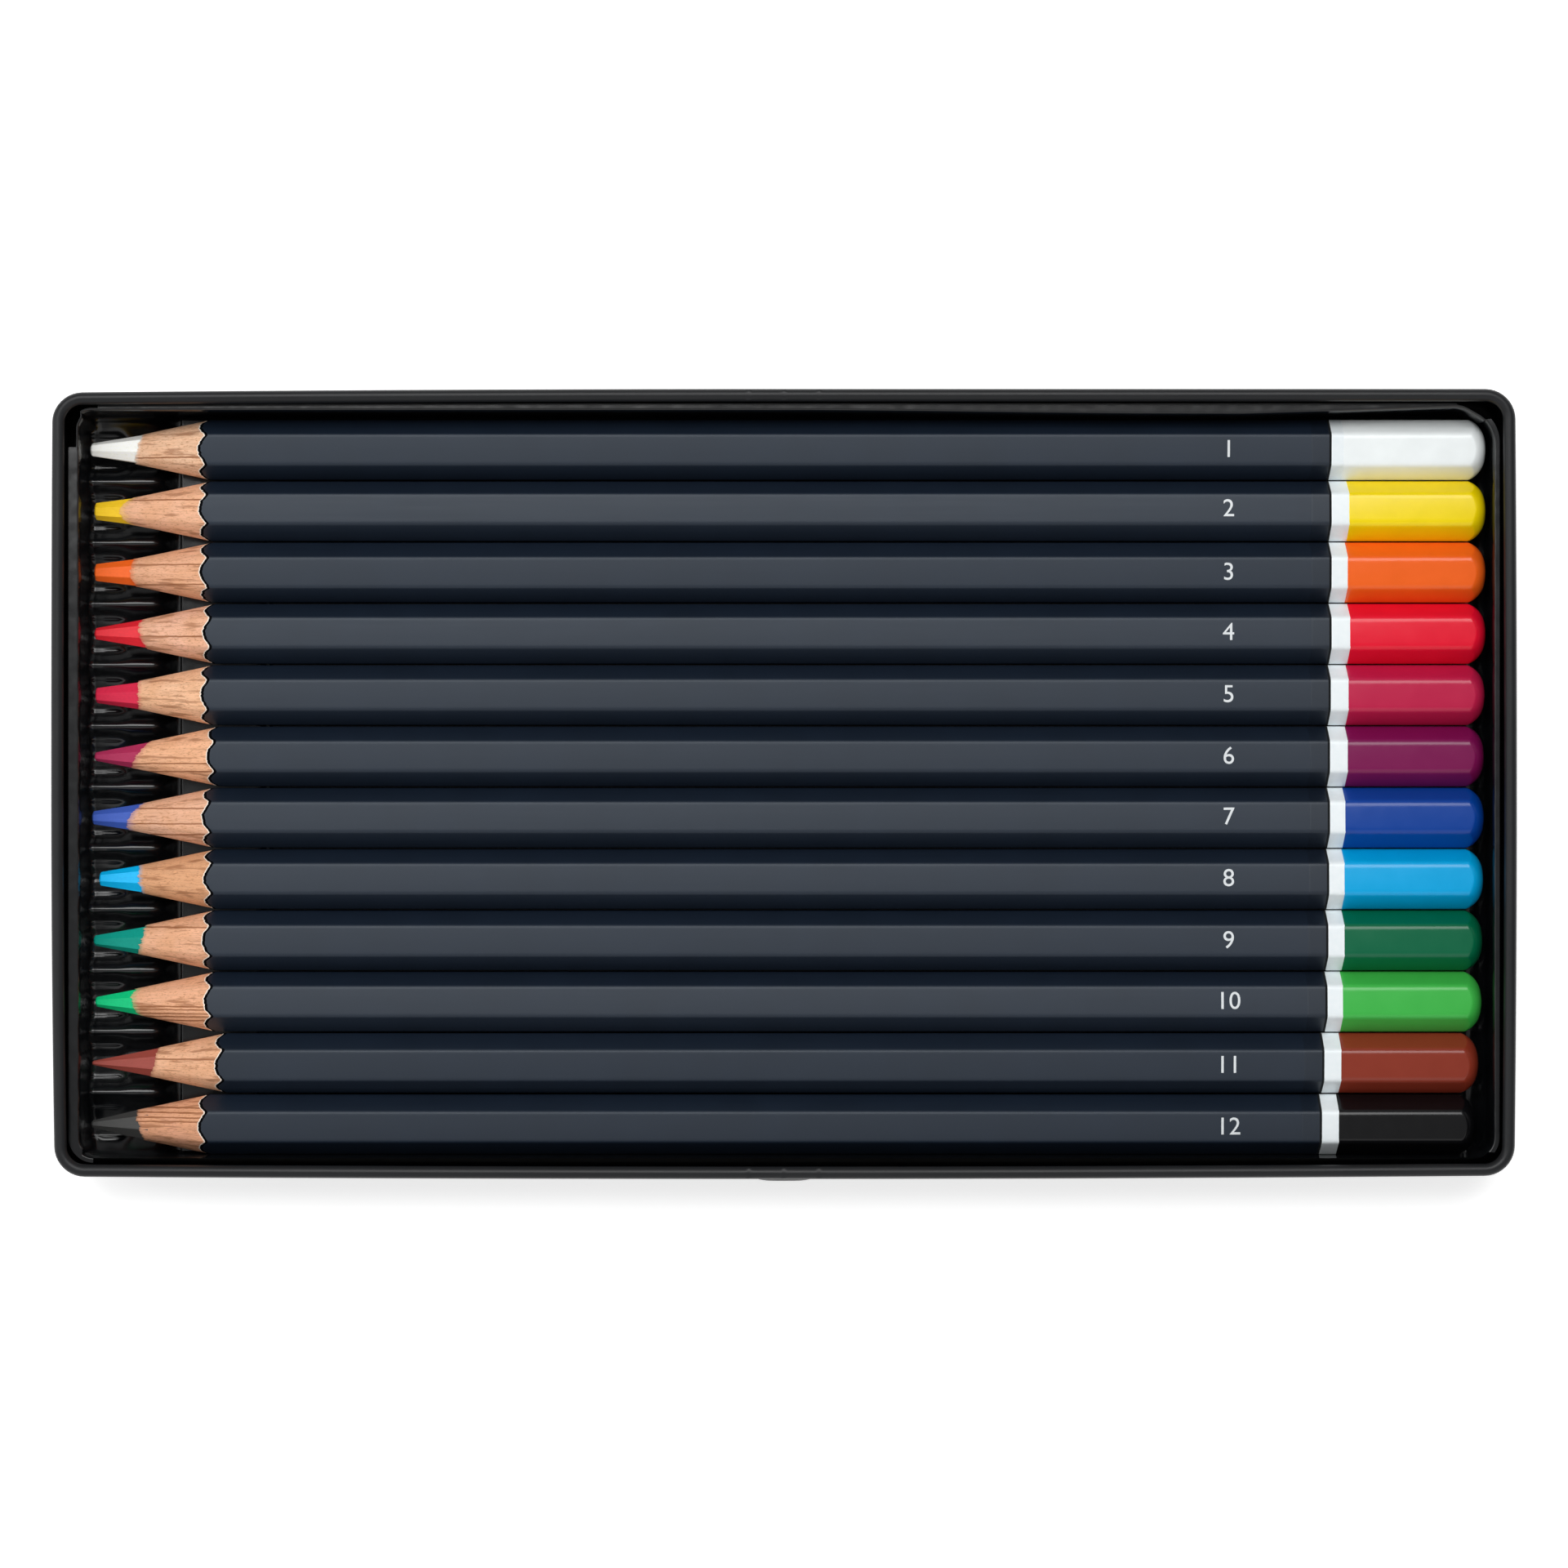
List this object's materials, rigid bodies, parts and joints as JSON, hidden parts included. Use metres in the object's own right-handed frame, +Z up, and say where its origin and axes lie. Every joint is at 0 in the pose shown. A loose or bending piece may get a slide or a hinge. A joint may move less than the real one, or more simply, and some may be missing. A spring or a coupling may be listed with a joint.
{
  "type": "watercolor pencil set",
  "caption": "Hexagonal watercolor pencils with dipped ends, side by side in a formed insert that lifts out of a shallow tin tray with a curled rim.",
  "frame": {"origin": "centre of the tin tray's underside, on the table", "axes": "+X along the pencils towards their dipped ends, +Y to the back of the tray away from the catch, +Z up out of the open tray"},
  "size_m": [0.1818, 0.0986, 0.0135],
  "materials": {
    "black_tin": "satin black lacquer on tinplate",
    "black_insert": "glossy formed sheet",
    "casing_wood": "bare, cut by a sharpener",
    "dark_lacquer": "satin dark blue-black lacquer",
    "white_pigment": "waxy pigment core",
    "white_dip": "glossy dip paint",
    "yellow_pigment": "waxy pigment core",
    "yellow_dip": "glossy dip paint",
    "orange_pigment": "waxy pigment core",
    "orange_dip": "glossy dip paint",
    "red_pigment": "waxy pigment core",
    "red_dip": "glossy dip paint",
    "crimson_pigment": "waxy pigment core",
    "crimson_dip": "glossy dip paint",
    "purple_pigment": "waxy pigment core",
    "purple_dip": "glossy dip paint",
    "blue_pigment": "waxy pigment core",
    "blue_dip": "glossy dip paint",
    "light_blue_pigment": "waxy pigment core",
    "light_blue_dip": "glossy dip paint",
    "dark_green_pigment": "waxy pigment core",
    "dark_green_dip": "glossy dip paint",
    "green_pigment": "waxy pigment core",
    "green_dip": "glossy dip paint",
    "brown_pigment": "waxy pigment core",
    "brown_dip": "glossy dip paint",
    "black_pigment": "waxy pigment core",
    "black_dip": "glossy dip paint"
  },
  "bodies": {
    "tin": {"tin_tray": "black_tin"},
    "insert": {"insert_tray": "black_insert"},
    "white_pencil": {"white_pencil_core": "white_pigment", "white_pencil_casing": "casing_wood", "white_pencil_lacquer": "dark_lacquer", "white_pencil_cap": "white_dip"},
    "yellow_pencil": {"yellow_pencil_core": "yellow_pigment", "yellow_pencil_casing": "casing_wood", "yellow_pencil_lacquer": "dark_lacquer", "yellow_pencil_cap": "yellow_dip"},
    "orange_pencil": {"orange_pencil_core": "orange_pigment", "orange_pencil_casing": "casing_wood", "orange_pencil_lacquer": "dark_lacquer", "orange_pencil_cap": "orange_dip"},
    "red_pencil": {"red_pencil_core": "red_pigment", "red_pencil_casing": "casing_wood", "red_pencil_lacquer": "dark_lacquer", "red_pencil_cap": "red_dip"},
    "crimson_pencil": {"crimson_pencil_core": "crimson_pigment", "crimson_pencil_casing": "casing_wood", "crimson_pencil_lacquer": "dark_lacquer", "crimson_pencil_cap": "crimson_dip"},
    "purple_pencil": {"purple_pencil_core": "purple_pigment", "purple_pencil_casing": "casing_wood", "purple_pencil_lacquer": "dark_lacquer", "purple_pencil_cap": "purple_dip"},
    "blue_pencil": {"blue_pencil_core": "blue_pigment", "blue_pencil_casing": "casing_wood", "blue_pencil_lacquer": "dark_lacquer", "blue_pencil_cap": "blue_dip"},
    "light_blue_pencil": {"light_blue_pencil_core": "light_blue_pigment", "light_blue_pencil_casing": "casing_wood", "light_blue_pencil_lacquer": "dark_lacquer", "light_blue_pencil_cap": "light_blue_dip"},
    "dark_green_pencil": {"dark_green_pencil_core": "dark_green_pigment", "dark_green_pencil_casing": "casing_wood", "dark_green_pencil_lacquer": "dark_lacquer", "dark_green_pencil_cap": "dark_green_dip"},
    "green_pencil": {"green_pencil_core": "green_pigment", "green_pencil_casing": "casing_wood", "green_pencil_lacquer": "dark_lacquer", "green_pencil_cap": "green_dip"},
    "brown_pencil": {"brown_pencil_core": "brown_pigment", "brown_pencil_casing": "casing_wood", "brown_pencil_lacquer": "dark_lacquer", "brown_pencil_cap": "brown_dip"},
    "black_pencil": {"black_pencil_core": "black_pigment", "black_pencil_casing": "casing_wood", "black_pencil_lacquer": "dark_lacquer", "black_pencil_cap": "black_dip"}
  },
  "joints": [
    {"name": "insert_lift", "type": "slide", "parent": "tin", "child": "insert", "axis": [0, 0, 1], "range_m": [0, 0.03]},
    {"name": "white_pencil_lift", "type": "slide", "parent": "insert", "child": "white_pencil", "axis": [0, 0, 1], "range_m": [0, 0.03]},
    {"name": "yellow_pencil_lift", "type": "slide", "parent": "insert", "child": "yellow_pencil", "axis": [0, 0, 1], "range_m": [0, 0.03]},
    {"name": "orange_pencil_lift", "type": "slide", "parent": "insert", "child": "orange_pencil", "axis": [0, 0, 1], "range_m": [0, 0.03]},
    {"name": "red_pencil_lift", "type": "slide", "parent": "insert", "child": "red_pencil", "axis": [0, 0, 1], "range_m": [0, 0.03]},
    {"name": "crimson_pencil_lift", "type": "slide", "parent": "insert", "child": "crimson_pencil", "axis": [0, 0, 1], "range_m": [0, 0.03]},
    {"name": "purple_pencil_lift", "type": "slide", "parent": "insert", "child": "purple_pencil", "axis": [0, 0, 1], "range_m": [0, 0.03]},
    {"name": "blue_pencil_lift", "type": "slide", "parent": "insert", "child": "blue_pencil", "axis": [0, 0, 1], "range_m": [0, 0.03]},
    {"name": "light_blue_pencil_lift", "type": "slide", "parent": "insert", "child": "light_blue_pencil", "axis": [0, 0, 1], "range_m": [0, 0.03]},
    {"name": "dark_green_pencil_lift", "type": "slide", "parent": "insert", "child": "dark_green_pencil", "axis": [0, 0, 1], "range_m": [0, 0.03]},
    {"name": "green_pencil_lift", "type": "slide", "parent": "insert", "child": "green_pencil", "axis": [0, 0, 1], "range_m": [0, 0.03]},
    {"name": "brown_pencil_lift", "type": "slide", "parent": "insert", "child": "brown_pencil", "axis": [0, 0, 1], "range_m": [0, 0.03]},
    {"name": "black_pencil_lift", "type": "slide", "parent": "insert", "child": "black_pencil", "axis": [0, 0, 1], "range_m": [0, 0.03]}
  ]
}
